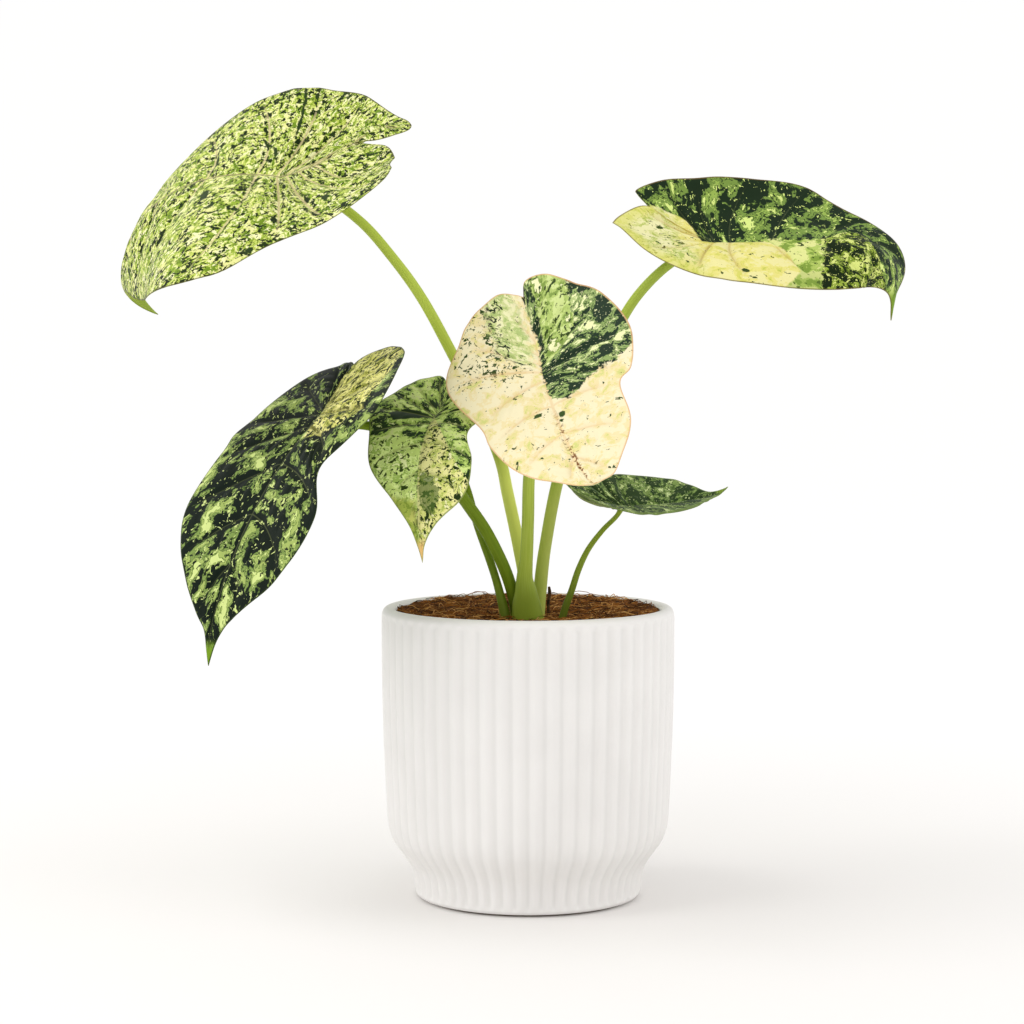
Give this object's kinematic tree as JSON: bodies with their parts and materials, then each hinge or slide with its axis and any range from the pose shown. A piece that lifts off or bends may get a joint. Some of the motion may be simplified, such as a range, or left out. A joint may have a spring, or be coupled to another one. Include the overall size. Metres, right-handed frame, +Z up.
{
  "type": "potted camouflage giant taro",
  "caption": "Small potted aroid with thick marbled leaves on curved stalks, standing in a ribbed white cylindrical cover pot filled with coir.",
  "frame": {"origin": "centre of the pot's underside, on the surface it stands on", "axes": "+Z up along the pot's axis, +X to the right and +Y away from someone who looks at the plant as in the picture, so -Y is its front"},
  "size_m": [0.3877, 0.2277, 0.3903],
  "materials": {
    "glaze": "matte",
    "coir": "matte",
    "root": "matte",
    "dry_stalk": "matte",
    "stalk": "satin",
    "blade_upper_left": "satin",
    "blade_upper_right": "satin",
    "blade_centre": "satin",
    "blade_lower_left": "satin",
    "blade_small_left": "satin",
    "blade_small_right": "satin"
  },
  "bodies": {
    "root": {"pot": "glaze", "coir": "coir", "rootstock": "root", "dried_stub": "dry_stalk", "petiole_upper_left": "stalk", "petiole_upper_right": "stalk", "petiole_centre": "stalk", "petiole_lower_left": "stalk", "petiole_small_left": "stalk", "petiole_small_right": "stalk", "leaf_upper_left": "blade_upper_left", "leaf_upper_right": "blade_upper_right", "leaf_centre": "blade_centre", "leaf_lower_left": "blade_lower_left", "leaf_small_left": "blade_small_left", "leaf_small_right": "blade_small_right"}
  },
  "joints": []
}
